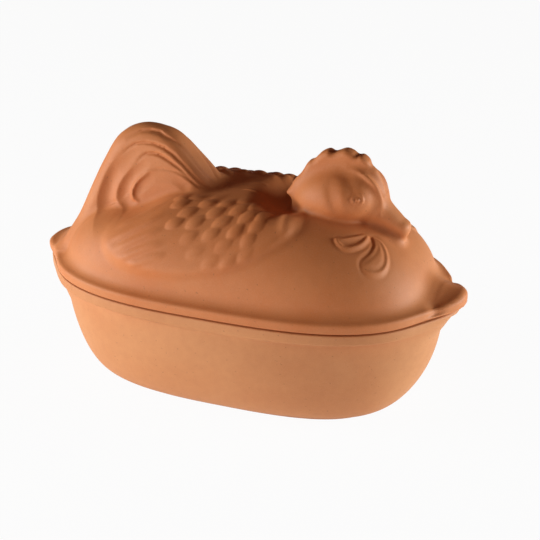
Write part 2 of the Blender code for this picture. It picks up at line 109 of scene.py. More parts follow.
# Hen, heights measured from the dish rim
BODY_HALF_LENGTH = 0.1568
BODY_HALF_WIDTH = 0.0894
BODY_HEIGHT = 0.0761
BODY_POWER_X = 3.04
BODY_POWER_Y = 2.60
BODY_ROUNDNESS = 0.88
BODY_CREST = 2.10
COVE = 0.0100
LUG_COVE = 0.0128
LUG_COVE_HALF_WIDTH = 0.0226
LUG_COVE_START = 0.12
LUG_COVE_RUN = 0.04
BACK_DIP = 0.0046
BACK_DIP_X = -0.028
BACK_DIP_REACH = (0.028, 0.050)
FLANK_DIP = 0.0105
FLANK_DIP_PLACE = (-0.086, 0.034)
FLANK_DIP_REACH = 0.023
NECK_HOLLOW = (0.037, 0.0, 0.084)
NECK_RADII = (0.022, 0.046, 0.0225)
WING_OUTLINE = (
    (0.0560, 0.0680), (0.0480, 0.0590), (0.0370, 0.0510), (0.0240, 0.0440), (0.0060, 0.0370),
    (-0.0300, 0.0300), (-0.0680, 0.0290), (-0.0900, 0.0340), (-0.0975, 0.0420), (-0.0870, 0.0545),
    (-0.0700, 0.0640), (-0.0540, 0.0725), (-0.0420, 0.0800), (-0.0300, 0.1000), (0.0200, 0.1000),
    (0.0500, 0.0880),
)
WING_RISE = 0.0028
WING_RISE_START = 0.010
WING_RISE_RUN = 0.028
WING_TAPER = 0.6
WING_TAPER_SPAN = (-0.050, 0.040)
WING_BLENDS = (0.010, 0.0065)
WING_BLEND_SPAN = (-0.030, 0.030)
WING_EDGE_FADE = 0.006
WING_TOP_SPAN = (0.081, 0.005)
TAIL_OUTLINE = (
    (-0.1625, 0.0090), (-0.1560, 0.0225), (-0.1450, 0.0415), (-0.1345, 0.0675), (-0.1252, 0.0888),
    (-0.1135, 0.1090), (-0.0960, 0.1187), (-0.0775, 0.1190), (-0.0615, 0.1127), (-0.0462, 0.0958),
    (-0.0286, 0.0752), (-0.0120, 0.0600), (-0.0300, 0.0200), (-0.0900, 0.0010), (-0.1400, 0.0010),
)
TAIL_TOP = 0.119
TAIL_HALF_THICKNESS = 0.013
TAIL_SPREAD = 0.25
TAIL_ROUND = 0.0115
HEAD_OUTLINE = (
    (0.0380, 0.0735), (0.0335, 0.0775), (0.0372, 0.0835), (0.0403, 0.0894), (0.0458, 0.0958),
    (0.0512, 0.1054), (0.0560, 0.1083), (0.0620, 0.1148), (0.0681, 0.1178), (0.0730, 0.1163),
    (0.0815, 0.1198), (0.0872, 0.1188), (0.0917, 0.1160), (0.0963, 0.1164), (0.1008, 0.1132),
    (0.1036, 0.1085), (0.1082, 0.1042), (0.1114, 0.0962), (0.1129, 0.0862), (0.1157, 0.0790),
    (0.1285, 0.0672), (0.1345, 0.0600), (0.1200, 0.0350), (0.0900, 0.0300), (0.0600, 0.0450),
    (0.0410, 0.0640),
)
HEAD_HALF_THICKNESS = 0.0070
HEAD_ROUND = 0.0045
SKULL = (0.078, 0.0, 0.0806)
SKULL_RADII = (0.0365, 0.0280, 0.0235)
SKULL_PITCH = math.radians(10)
BEAK_ROOT = (0.109, 0.0, 0.072)
BEAK_TIP = (0.1315, 0.0, 0.0590)
BEAK_ROOT_RADIUS = 0.0115
BEAK_TIP_RADIUS = 0.0038
ROUGH_BEAK_RADII = (2 * BEAK_TIP_RADIUS,) * 3
LEAST_SLOPE = 3.0
SOFT_BLEND = 0.016
FIRM_BLEND = 0.008
TAIL_BLEND = 0.004
SKULL_BLEND = 0.0045
COMB_BLEND = 0.0080

# Tail feather edges from the front down to the back: place, then depth and width of the
# groove and depth of the hollow behind it, all in millimetres
TAIL_EDGES = (
    ((-26, 2.5, 73.5, 1.1, 1.5, 0), (-32.8, 5.6, 79.9, 2, 1.5, 0), (-38.4, 7.8, 86.5, 1.9, 1.5, 0),
     (-47.2, 8.5, 96.8, 1.6, 1.5, 0), (-55.8, 9.1, 106, 1.7, 1.2, 0.1),
     (-75.7, 9.6, 115.9, 1.7, 1.2, 0.1), (-91.5, 11.2, 115.5, 1.7, 1.2, 0.1),
     (-104, 13, 108, 0, 2.4, 0)),
    ((-26, 14, 74, 1.6, 1.3, 0), (-31.3, 15.2, 77.6, 2.8, 1.3, 0), (-37.5, 17.3, 82.1, 3, 1.3, 0),
     (-44.3, 17.5, 88.1, 2.5, 1.3, 0), (-60.7, 16.4, 101.9, 2.9, 1.2, 0.1),
     (-77.2, 15.7, 107.9, 2.2, 1.2, 0.1), (-93.7, 16.2, 106.4, 1.3, 1.2, 0.4),
     (-105.5, 18.5, 96.8, 0.4, 1.2, 1), (-115.6, 20.8, 87.9, 0, 2.4, 1.6),
     (-122, 24.5, 73.1, 0, 2.4, 2.6), (-125.4, 27.9, 59.8, 0, 2.4, 2.8),
     (-124.1, 37.4, 49, 0, 2.4, 2.5), (-118.6, 52, 43, 0, 2.4, 1.2), (-112.6, 64, 36, 0, 2.4, 0)),
    ((-27, 17, 74.5, 1.8, 1.2, 0), (-32.2, 18, 77, 3.2, 1.2, 0), (-37.5, 19.6, 79.9, 3.2, 1.2, 0),
     (-44.1, 20.3, 84.1, 2.9, 1.2, 0), (-53.6, 19.4, 91.5, 3.5, 1.2, 0.1),
     (-70.5, 17.9, 99.5, 2.6, 1.2, 0.2), (-83.4, 17.8, 99.7, 1.6, 1.2, 0.3),
     (-92, 19.7, 92.1, 0.4, 1.2, 0.9), (-99.6, 22, 82.9, 0, 2.4, 1.6),
     (-106.6, 24.8, 72, 0, 2.4, 2.1), (-108.2, 29.9, 60.5, 0, 2.4, 2.1),
     (-101.9, 45.5, 55.3, 0, 2.4, 1.5), (-94.7, 58.3, 50, 0, 2.4, 0)),
    ((-28, 20, 74, 1.3, 1.3, 0.9), (-34.1, 20.4, 76.6, 2.3, 1.3, 1.6),
     (-38.7, 20.6, 79.7, 2.3, 1.3, 1.6), (-45.1, 20.6, 84.1, 1.8, 1.3, 1.4),
     (-54, 20.5, 88, 1.6, 1.2, 0.7), (-61.3, 20.4, 89.3, 0.9, 1.2, 0.4),
     (-77.7, 20.7, 88.3, 0.4, 1.2, 0.3), (-83.7, 22, 82.9, 0, 2, 0.5),
     (-89.6, 23.4, 77.5, 0, 2, 0.7), (-93.5, 25.7, 69.7, 0, 2, 0.7), (-92.3, 32, 63.1, 0, 2, 0.5),
     (-84.9, 45.5, 60.1, 0, 2, 0)),
)
# Ridge round the last feather: place, then its rise
BEAD = ((-72, 20.5, 88.6, 0), (-79.6, 21.1, 86.6, 0.7), (-83.7, 22, 82.9, 1.1),
        (-89.6, 23.4, 77.5, 1.4), (-93.5, 25.7, 69.7, 1.5), (-92.3, 32, 63.1, 1.2),
        (-86.2, 43, 60.4, 0))
BEAD_WIDTH = 1.7
LAST_HOLLOW = 11.0
SIDE_VIEW_SPAN = (-78, -44)
SIDE_VIEW_MIDDLE = 16

# Wing feathers as tip and root, in wing coordinates in millimetres: along x, and down the
# flank from the crest.  A span here is a start or an end, then the run of the change.
FEATHERS = (
    (-37.6, 33.6, -23.9, 21.5), (-19.8, 30.9, -9, 17), (-24.8, 41.8, -14.5, 31),
    (-9.4, 41.2, 1, 28), (-47.5, 46.5, -37, 37.5), (-37.6, 55.6, -27, 45.5),
    (-14.5, 52.4, -4, 40), (3.4, 47.6, 13.5, 33), (-27.3, 64.5, -17, 53), (-6, 61.5, 5, 49),
    (13.4, 54, 23, 38), (-10.7, 73.4, -1, 60.5), (9.3, 69.4, 16.5, 54), (25.5, 62.2, 31, 45),
    (-28.1, 78.7, -18.5, 68), (2.4, 80.7, 12, 69), (22.7, 75, 27.5, 59),
    (-20.3, 89.2, -8.5, 79), (-6.1, 96.1, 4.5, 84.5), (9.5, 94.4, 18, 80.5),
    (26.1, 49.5, 33, 31), (22.9, 86.5, 30, 74), (-48.9, 37.2, -38, 28), (16, 38, 25, 24),
    (4, 31, 14, 20), (-44, 67, -34, 57.5),
)
FEATHER_HALF_WIDTH = 6.0
FEATHER_LEAD = 3.5
FEATHER_RISE = 1.5
FEATHER_MERGE = 3
FEATHER_SKEW = 0.85
FEATHER_FULLNESS = 0.95
FEATHER_CROWN = 1.1
HIGH_FEATHER_SHARE = 0.25
HIGH_FEATHER_SPAN = (22, 16)
LOW_FEATHER_LOSS = 0.55
LOW_FEATHER_SPAN = (62, 18)
WING_GIRTH = 0.088
WING_SPREAD = (0.0894, 0.0779)
LONG_FEATHERS = (
    ((-97, 76), (-77.9, 60), (-51.5, 36)),
    ((-97, 89), (-72, 71), (-46, 52)),
    ((-92, 97), (-67, 80.5), (-42, 65)),
    ((-86, 103), (-61, 89), (-38, 77)),
    ((-76, 107), (-54, 96), (-34, 88)),
)
LONG_FEATHER_HALF_WIDTH = 6.0
LONG_FEATHER_RISE = 1.05
LONG_FEATHER_FADES = ((0, 0.3), (1, 0.35))
LONG_FEATHER_BLEND = 0.25
# Lines on the wing: points, rise, width, and the spans along it of its growth and its fading
WING_LINES = (
    (((9.2, 10.1), (24.3, 6.6), (39.7, 27.2), (47.7, 41.4), (50.0, 53.6), (49.1, 62.1)),
     1.3, 4.6, (0.3, 0.4), (1, 0.2)),
    (((-3.5, 7.6), (14.2, 9.3)), 0.7, 1.6, (0, 0.3), (1, 0.3)),
)

# Face: width of each groove or ridge, then the places of its middle and its rise there, in
# millimetres
FACE_STROKES = {
    "brow": (2.8, ((86.3, 10.6, 108, 0.4), (96.3, 10.8, 106.1, 1.4), (103.9, 11.2, 102.2, 2.0),
                   (110.5, 10.8, 96.3, 2.1), (114.4, 9.6, 88.9, 1.8), (116.2, 9.4, 82.3, 1.1),
                   (115.5, 11.8, 76.3, 0.3))),
    "forehead": (2.6, ((88, 8.6, 110.8, -0.8), (94.7, 8.0, 110.6, -1.6), (102.3, 6.8, 108, -3.2),
                       (107.5, 6.2, 103.5, -3.8), (112, 5.6, 98, -3.6), (115, 4.8, 91, -2.4),
                       (117.3, 3.9, 85.5, -0.4))),
    "socket": (4.6, ((81.4, 13, 104.8, -0.6), (88.2, 15.7, 101.7, -1.4), (92.9, 19.7, 96.3, -1.5),
                     (94.9, 22.9, 90.2, -1.1), (95.6, 24.5, 82.5, -0.4))),
    "under_brow": (3.6, ((104, 15.5, 98, -0.4), (109, 15, 91.5, -0.8), (110.5, 15.5, 83.5, -0.7),
                         (110, 16.5, 76, -0.2))),
    "cheek": (4.8, ((86.6, 22.8, 94, 0.3), (88.6, 26, 87.1, 0.8), (91.2, 25.8, 79, 0.5))),
    "gape": (1.3, ((115.3, 12.2, 74, 0.4), (115.5, 12.2, 71, 0.9), (115.7, 12.1, 67.5, 0.3))),
    "chin": (3.2, ((112, 13.2, 65, -1.2), (116.5, 12.6, 63, -2.6), (121.7, 11.6, 60, -3.2),
                   (127, 9.8, 56.6, -2.6), (132, 7.4, 53, -1.2), (136, 6, 50, 0))),
}
# Ring round the face: place, then rise, and its widths on its two sides
FACE_RING = ((75.4, 16.8, 100.3, 0), (75.9, 22.8, 94.1, -0.8), (79.2, 27.2, 86.2, -1.0),
             (83.5, 27.4, 77.6, -0.7), (89.9, 23.8, 70.4, 0))
FACE_RING_WIDTHS = (3.5, 8.0)
EYE = (98.8, 21.3, 86.8)
EYE_NORMAL = (0.50, 0.84, 0.22)
EYE_RADIUS = 4.0
EYE_REACH = 12
EYEBALL_RISE = 1.9
EYEBALL_WIDTH = 1.8
EYELID_RISE = 1.5
EYELID_WIDTH = 1.1
EYE_CORNER_SHARE = 0.1

# Wattles, plan points (x, y), then their relief in millimetres.  A span is a start or an end
# and the run of the change, and a groove has its distance outside the edge and its width.
FRONT_WATTLE = ((113, 22.5), (118, 22), (124, 26), (128.6, 33.5), (129.6, 41), (127.6, 47.5),
                (123, 52), (118, 53.6), (114.3, 52.8), (113, 49.5), (114.6, 44.5), (117, 38),
                (117, 31), (115, 26))
REAR_WATTLE = ((89.5, 43), (92.3, 46.3), (97, 47.8), (102.4, 45.3), (107.5, 38.8), (109.6, 32),
               (109.6, 26), (107, 26), (102.4, 32.4), (97.6, 37.8), (93, 41.6))
WATTLE_RIM = 1.05
WATTLE_RIM_WIDTH = 1.6
WATTLE_RIM_INSET = 0.3
WATTLE_TOP_SPAN = (66, 4)
REAR_WATTLE_DISHING = 0.4
REAR_WATTLE_DISHING_SPAN = (-1.5, 4.0)
REAR_WATTLE_GROOVE_DEPTH = 0.4
REAR_WATTLE_GROOVE = (2.4, 1.5)
FRONT_WATTLE_SPAN = (113, 9)
FRONT_WATTLE_LEAST_RIM = 0.15
FRONT_WATTLE_SWELL = 1.0
FRONT_WATTLE_SWELL_SPAN = (-0.5, 5.0)
FRONT_WATTLE_GROOVE_DEPTH = 0.6
FRONT_WATTLE_GROOVE_LOSS = 0.4
FRONT_WATTLE_GROOVE = (1.6, 1.6)

# Where each kind of relief lies: least and most x, then least and most height above the rim
TAIL_ZONE = (-math.inf, -0.018, 0.03, math.inf)
WING_ZONE = (-0.11, 0.06, 0.01, math.inf)
FACE_ZONE = (0.035, math.inf, 0.04, math.inf)
WATTLE_ZONE = (0.075, math.inf, 0.025, 0.07)
WATTLE_LEAST_Y = 0.012

# Thumb dips beside the head lug
LUG_DIP = (0.168, 0.029, 0.0068)
LUG_DIP_DEPTH = 0.0034
LUG_DIP_REACH = 0.0062
LUG_DIP_FADE = 0.002
LUG_DIP_PUSH = (0.6, 0.6, 0.5)

# Unevenness of the dish's wall: share, turns round the wall, phase and lean of each wave
WAVES = ((1.0, 3, 1.1, 20), (0.7, 5, -0.6, 55), (0.4, 11, 2.3, -90))
WAVE_HEIGHT = 0.00018
WAVE_FOOT_SPAN = (0.004, 0.02)
WAVE_RIM_SPAN = (0.090, 0.012)

# Clay: shift of the noise, then the deep and the pale tone of the ground
# Painted light and shade: the dish's tones are paler and the lid's deeper and redder, standing in
# for the dish lit and the lid shaded, though both are of one clay
DISH_CLAY = (0.37, (0.67, 0.262, 0.096, 1.0), (0.72, 0.310, 0.124, 1.0))
LID_CLAY = (0.11, (0.67, 0.206, 0.058, 1.0), (0.72, 0.254, 0.086, 1.0))
CLAY_SHIFT = (1.0, 0.7, 1.3)
CLAY_ROUGHNESS = 0.6
CLAY_SPECULAR = 0.45
CLAY_DIFFUSE_ROUGHNESS = 0.1
CLAY_GROUND = (14, 3, 0.55)
CLAY_GROUND_SPAN = (0.35, 0.65)
# Clouds, pale and dark speckle: scale, detail and roughness of the noise, the span of it that
# shows, how strongly, and the colour
CLAY_SPECKLES = (
    ((150, 3, 0.55), (0.35, 0.70), 0.16, (0.52, 0.18, 0.066, 1.0)),
    ((1100, 2, 0.55), (0.45, 0.75), 0.16, (0.78, 0.42, 0.22, 1.0)),
    ((430, 1, 0.55), (0.72, 0.78), 0.45, (0.34, 0.11, 0.04, 1.0)),
)
# Painted shade: the colour darkened towards a deep red-brown in creases and hollows found by
# ambient occlusion; samples, reach, the span of occlusion that shows, strength and colour
PAINTED_SHADE_SAMPLES = 8
PAINTED_SHADE_REACH = 0.009
PAINTED_SHADE_SPAN = (0.40, 0.97)
PAINTED_SHADE_STRENGTH = 0.45
PAINTED_SHADE_COLOUR = (0.40, 0.115, 0.036, 1.0)
GRAIN = (1400, 3, 0.6)
GRAIN_STRENGTH = 0.5
GRAIN_HEIGHT = 0.0002
# Places of the colour sockets among those of the mix node
MIX_A, MIX_B, MIX_RESULT = 6, 7, 2

# Studio, with the camera fitted to the photo's seam, foot line and lugs
FLOOR_COLOUR = (0.86, 0.86, 0.86, 1.0)
FLOOR_ROUGHNESS = 0.9
FLOOR_GLOW = 0.56
FLOOR_GLOW_SEEN = 0.39
FLOOR_SEGMENTS = 8
FLOOR_HALF_SIZE = 4.0
FLOOR_DROP = 0.0005
WHITE = (1.0, 1.0, 1.0, 1.0)
CAMERA_AZIMUTH = math.radians(21.065)
CAMERA_ELEVATION = math.radians(24.565)
CAMERA_LENS = 103.49
CAMERA_SENSOR = 36.0
CAMERA_TARGET = (0, 0, 0.090)
CAMERA_DISTANCE = 1.3
CAMERA_RIGHT = 0.01648
CAMERA_UP = 0.00770
SKY_COLOUR = (1.0, 0.52, 0.36, 1.0)
SKY_STRENGTH = 0.08
COOL, WARM = (0.92, 1.0, 1.0), (1.0, 0.84, 0.72)
LAMP_AIM = (0, 0, 0.1)
# Distances to the camera's right, towards the camera and up, then size, power and colour
LAMPS = {
    "lamp_left": ((-1.3, 0.10, 0.40), (0.7, 0.5), 14, COOL),
    "lamp_left_low": ((-1.0, 0.90, 0.08), (0.7, 0.15), 4, WARM),
    "lamp_right": ((1.3, 0.10, 0.22), (0.7, 0.3), 15, COOL),
}

# Mesh fineness
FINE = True
SKIN_VOXEL = 0.0010 if FINE else 0.0022
ROUGH_VOXEL = 0.0030
HOLLOW_VOXEL = 0.0025
RIM_POINTS = 288
ARC_SAMPLES = 2000
WALL_RINGS = 44
RING_CROWDING = 1.6
EDGE_TURNS = tuple(np.linspace(0, math.pi / 2, 7))
FOOT_SHARES = (0.5, 0.8)
FLOOR_SHARES = (0.8, 0.4)
BAND_FADE_SHARES = tuple(np.linspace(0.125, 1, 8))
BAND_SHARES = (0.35, 0.7)
LID_BAND_SHARES = (0.25, 0.5, 0.75)
ROUGH_RINGS = 8
BALL_SEGMENTS = 32
BALL_RINGS = 20
CURVE_STEPS = 10
PATH_STEPS = 2
TABLE_CELL = 0.0008
TABLE_MARGIN = 0.04
TABLE_END = 1.001
SETTLE_ROUNDS = 5
SETTLE_DAMPING = 0.05
SETTLE_STRIDE = 0.004
NUDGE = 0.0002
SKIN_TUCK = 0.00008
TINY = 1e-9

SEAT = RIM_HEIGHT + SEAT_GAP
HOLLOW_BASE = SEAT - 2 * TONGUE_DEPTH
SCENE = bpy.context.scene


# Plan outlines

def oblong(angles, half_length, half_width, power_x, power_y):
    """A rounded oblong in plan, a point for each angle."""
    c, s = np.cos(angles), np.sin(angles)
    x = half_length * np.sign(c) * np.abs(c) ** (2 / power_x)
    y = half_width * np.sign(s) * np.abs(s) ** (2 / power_y)
    return np.column_stack([x, y])


def with_lugs(outline, head_reach, tail_reach, half_width):
    """The outline with its two ends drawn out into rounded ears."""
    x, y = outline[:, 0], outline[:, 1]
    bump = np.exp(-(np.abs(y) / half_width) ** LUG_POWER) * (np.abs(x) / x.max()) ** LUG_SHARPNESS
    return np.column_stack([x + np.where(x > 0, head_reach, -tail_reach) * bump, y])


def even_angles(count):
    """Angles whose points lie evenly along the lugged rim, alike in all four quarters."""
    angles = np.linspace(0, math.pi / 2, ARC_SAMPLES)
    outline = oblong(angles, RIM_HALF_LENGTH, RIM_HALF_WIDTH, RIM_POWER_X, RIM_POWER_Y)
    outline = with_lugs(outline, LUG_REACH, LUG_REACH, LUG_HALF_WIDTH)
    along = np.append(0.0, np.linalg.norm(np.diff(outline, axis=0), axis=1).cumsum())
    stops = np.linspace(0, along[-1], count // 4 + 1)
    half = np.interp(stops, along, angles)
    half = np.append(half, math.pi - half[-2::-1])
    return np.append(half, math.pi + half[1:-1])


ANGLES = even_angles(RIM_POINTS)


def oval(half_length, half_width, power_x, power_y):
    return oblong(ANGLES, half_length, half_width, power_x, power_y)


def rim_oval(inset):
    return oval(RIM_HALF_LENGTH - inset, RIM_HALF_WIDTH - inset, RIM_POWER_X, RIM_POWER_Y)


def lugged_rim(inset):
    return with_lugs(rim_oval(inset), LUG_REACH, LUG_REACH, LUG_HALF_WIDTH)


def drawn_in(outline, amount):
    """The outline moved inwards, by one amount or by an amount for each point."""
    along = np.roll(outline, -1, 0) - np.roll(outline, 1, 0)
    outward = np.column_stack([along[:, 1], -along[:, 0]])
    outward /= np.linalg.norm(outward, axis=1)[:, None]
    return outline - outward * np.broadcast_to(amount, len(outline))[:, None]


def lug_share(x, y):
    """Nothing along the sides of the rim, rising to one in the middle of each lug."""
    reach = np.clip((np.abs(x) - LUG_RISE_START) / (RIM_HALF_LENGTH - LUG_RISE_START), 0, 1)
    return reach * np.exp(-(y / LUG_RISE_HALF_WIDTH) ** 2)


def edge_round(least, outline):
    return least + lug_share(outline[:, 0], outline[:, 1]) * LUG_ROUND


def throat_oval():
    return rim_oval(RIM_LAND + TONGUE_CLEARANCE + TONGUE_WIDTH)


def ring(outline, height):
    """The outline at one height, or at a height for each point."""
    return np.column_stack([outline, np.full(len(outline), height)])


def lower_edge(outline, height, edge):
    """Rings that round the outline's lower edge, from the flat below up to its side."""
    return [ring(drawn_in(outline, (1 - math.sin(turn)) * edge),
                 height + (1 - math.cos(turn)) * edge) for turn in EDGE_TURNS]


def upper_edge(outline, height, edge):
    """Rings that round the outline's upper edge, from its side up to the flat above."""
    return [ring(drawn_in(outline, (1 - math.cos(turn)) * edge),
                 height - (1 - math.sin(turn)) * edge) for turn in EDGE_TURNS]


def loft(name, rings):
    """A closed solid through rings of equal count, capped flat at both ends."""
    bm = bmesh.new()
    rows = [[bm.verts.new(point) for point in row] for row in rings]
    count = len(rows[0])
    for lower, upper in zip(rows, rows[1:]):
        for i in range(count):
            j = (i + 1) % count
            bm.faces.new((lower[i], lower[j], upper[j], upper[i]))
    bm.faces.new(list(reversed(rows[0])))
    bm.faces.new(rows[-1])
    bmesh.ops.recalc_face_normals(bm, faces=bm.faces)
    mesh = bpy.data.meshes.new(name)
    bm.to_mesh(mesh)
    bm.free()
    return mesh


# Dish

def flare(share):
    """How far the wall has spread from foot to rim at a share of its height."""
    return (1 - (1 - share) ** FLARE_POWER) ** (1 / FLARE_ROOT)


def wall_oval(share, inset):
    s = flare(share)
    foot_length = FOOT_HALF_LENGTH + FOOT_STEP
    foot_width = FOOT_HALF_WIDTH + FOOT_STEP
    top_length = RIM_HALF_LENGTH - RIM_BAND_STEP
    top_width = RIM_HALF_WIDTH - RIM_BAND_STEP - WALL_TUCK
    return oval(foot_length + (top_length - foot_length) * s - inset,
                foot_width + (top_width - foot_width) * s - inset,
                FOOT_POWER + (WALL_POWER_X - FOOT_POWER) * s,
                FOOT_POWER + (WALL_POWER_Y - FOOT_POWER) * s)


def lug_fade(height, depth, fade):
    """Share of a dish lug's reach at a height: all of it at the rim, none at its root."""
    drop = min((RIM_HEIGHT - height) / depth, 1.0)
    return (1 - drop ** fade[0]) ** fade[1]


def with_dish_lugs(outline, height):
    return with_lugs(outline,
                     HEAD_LUG_REACH * lug_fade(height, HEAD_LUG_DEPTH, HEAD_LUG_FADE),
                     TAIL_LUG_REACH * lug_fade(height, TAIL_LUG_DEPTH, TAIL_LUG_FADE),
                     DISH_LUG_HALF_WIDTH)


def dish_rings():
    foot = oval(FOOT_HALF_LENGTH, FOOT_HALF_WIDTH, FOOT_POWER, FOOT_POWER)
    rings = [ring(foot * share, 0.0) for share in FOOT_SHARES]
    rings += lower_edge(foot, 0.0, FOOT_STEP)
    rings.append(ring(foot, FOOT_HEIGHT - FOOT_STEP))
    band_base = RIM_HEIGHT - RIM_BAND_HEIGHT
    for i in range(WALL_RINGS + 1):
        share = (i / WALL_RINGS) ** RING_CROWDING
        height = FOOT_HEIGHT + (band_base - FOOT_HEIGHT) * share
        rings.append(ring(with_dish_lugs(wall_oval(share, 0.0), height), height))
    top = wall_oval(1.0, 0.0)
    for step in BAND_FADE_SHARES:
        height = band_base + BAND_FADE * step
        outline = top + (rim_oval(OVERHANG) - top) * smooth_step(step)
        rings.append(ring(with_dish_lugs(outline, height), height))
    for step in BAND_SHARES:
        height = band_base + BAND_FADE
        height += (RIM_HEIGHT - SLOT_HEIGHT - DISH_EDGE_ROUND - LUG_ROUND - height) * step
        rings.append(ring(with_dish_lugs(rim_oval(OVERHANG), height), height))
    rim = with_dish_lugs(rim_oval(OVERHANG), RIM_HEIGHT - DISH_EDGE_ROUND)
    edge = edge_round(DISH_EDGE_ROUND, rim)
    rings += upper_edge(rim, RIM_HEIGHT - SLOT_HEIGHT, edge)
    slot = drawn_in(rim, SLOT_DEPTH + edge)
    rings += [ring(slot, RIM_HEIGHT - SLOT_HEIGHT), ring(slot, RIM_HEIGHT)]
    for turn in EDGE_TURNS:
        inset = RIM_LAND - EDGE_ROUND * (1 - math.sin(turn))
        rings.append(ring(rim_oval(inset), RIM_HEIGHT - (1 - math.cos(turn)) * EDGE_ROUND))
    inner_top = band_base - LAND_DEPTH
    for i in range(WALL_RINGS, -1, -1):
        share = (i / WALL_RINGS) ** RING_CROWDING
        height = DISH_FLOOR + (inner_top - DISH_FLOOR) * share
        rings.append(ring(wall_oval(share, DISH_WALL), height))
    last = rings[-1][:, :2]
    return rings + [ring(last * share, DISH_FLOOR) for share in FLOOR_SHARES]


# Forms, as signed distances from their surfaces

def smooth_min(a, b, blend):
    overlap = np.maximum(blend - np.abs(a - b), 0.0) / blend
    return np.minimum(a, b) - overlap * overlap * blend / 4


def smooth_max(a, b, blend):
    return -smooth_min(-a, -b, blend)


def smooth_step(t):
    t = np.clip(t, 0, 1)
    return t * t * (3 - 2 * t)


def rising(value, start, run):
    """Nothing up to the start, growing to one over the run."""
    return smooth_step((value - start) / run)


def falling(value, end, run):
    """One up to a run before the end, dropping to nothing at the end."""
    return smooth_step((end - value) / run)


def bell(value, width):
    return np.exp(-(value / width) ** 2)


def ellipsoid(p, centre, radii, pitch=0.0):
    q = p - np.array(centre)
    c, s = math.cos(pitch), math.sin(pitch)
    turned = np.column_stack([c * q[:, 0] + s * q[:, 2], q[:, 1], c * q[:, 2] - s * q[:, 0]])
    local = turned / np.array(radii)
    k = np.linalg.norm(local, axis=1) + TINY
    slope = np.linalg.norm(local / np.array(radii), axis=1) + TINY
    return k * (k - 1) / slope


def tapered_rod(p, start, end, start_radius, end_radius):
    a, b = np.array(start), np.array(end)
    along = np.clip(((p - a) @ (b - a)) / ((b - a) @ (b - a)), 0, 1)
    radius = start_radius + (end_radius - start_radius) * along
    return np.linalg.norm(p - a - along[:, None] * (b - a), axis=1) - radius


def bent(before, start, end, after, steps):
    """Rows on evenly bending curves from each start to its end, given the rows beyond both."""
    curve = []
    for step in range(steps):
        t = step / steps
        curve.append(0.5 * (2 * start + (end - before) * t
                            + (2 * before - 5 * start + 4 * end - after) * t ** 2
                            + (3 * start - before - 3 * end + after) * t ** 3))
    return np.stack(curve, 1).reshape(-1, start.shape[1])


def smooth_loop(points):
    """A closed curve through the points."""
    rows = np.array(points, float)
    before, end, after = (np.roll(rows, places, 0) for places in (1, -1, -2))
    return bent(before, rows, end, after, CURVE_STEPS)


def smooth_path(points):
    """The rows of an open line with further rows between them."""
    rows = np.array(points, float)
    before = np.vstack([rows[:1], rows[:-2]])
    after = np.vstack([rows[2:], rows[-1:]])
    return np.vstack([bent(before, rows[:-1], rows[1:], after, PATH_STEPS), rows[-1:]])


def flat_distance(loop):
    """A function giving the signed distance from a closed flat curve, read from a table."""
    low, high = loop.min(0) - TABLE_MARGIN, loop.max(0) + TABLE_MARGIN
    shape = np.ceil((high - low) / TABLE_CELL).astype(int) + 1
    u = low[0] + np.arange(shape[0]) * TABLE_CELL
    v = low[1] + np.arange(shape[1]) * TABLE_CELL
    grid = np.stack(np.meshgrid(u, v, indexing="ij"), -1).reshape(-1, 2)
    best = np.full(len(grid), np.inf)
    inside = np.zeros(len(grid), bool)
    for a, b in zip(loop, np.roll(loop, -1, 0)):
        edge = b - a
        offset = grid - a
        t = np.clip(offset @ edge / (edge @ edge), 0, 1)
        best = np.minimum(best, ((offset - t[:, None] * edge) ** 2).sum(1))
        crosses = (a[1] > grid[:, 1]) != (b[1] > grid[:, 1])
        if a[1] != b[1]:
            where = a[0] + (grid[:, 1] - a[1]) * edge[0] / edge[1]
            inside ^= crosses & (grid[:, 0] < where)
    table = (np.sqrt(best) * np.where(inside, -1, 1)).reshape(shape)

    def distance(x, y):
        i = np.clip((x - low[0]) / TABLE_CELL, 0, shape[0] - TABLE_END)
        j = np.clip((y - low[1]) / TABLE_CELL, 0, shape[1] - TABLE_END)
        i0, j0 = i.astype(int), j.astype(int)
        di, dj = i - i0, j - j0
        near = table[i0, j0] * (1 - dj) + table[i0, j0 + 1] * dj
        far = table[i0 + 1, j0] * (1 - dj) + table[i0 + 1, j0 + 1] * dj
        return near * (1 - di) + far * di

    return distance


def stroke(u, v, points):
    """Distance from an open line of points, and the share of its length at the nearest place."""
    pts = np.array(points, float)
    lengths = np.linalg.norm(np.diff(pts, axis=0), axis=1)
    starts = np.append(0.0, lengths.cumsum())
    best = np.full(u.shape, np.inf)
    share = np.zeros(u.shape)
    for a, b, length, start in zip(pts, pts[1:], lengths, starts):
        du, dv = u - a[0], v - a[1]
        eu, ev = (b - a) / length
        along = np.clip(du * eu + dv * ev, 0, length)
        gap = np.hypot(du - along * eu, dv - along * ev)
        nearer = gap < best
        best = np.where(nearer, gap, best)
        share = np.where(nearer, (start + along) / starts[-1], share)
    return best, share


def rounded_slab(flat, across, radius):
    """Distance from a slab, given those from its outline and its two faces."""
    a, b = flat + radius, across + radius
    outside = np.hypot(np.maximum(a, 0), np.maximum(b, 0))
    return np.minimum(np.maximum(a, b), 0) + outside - radius


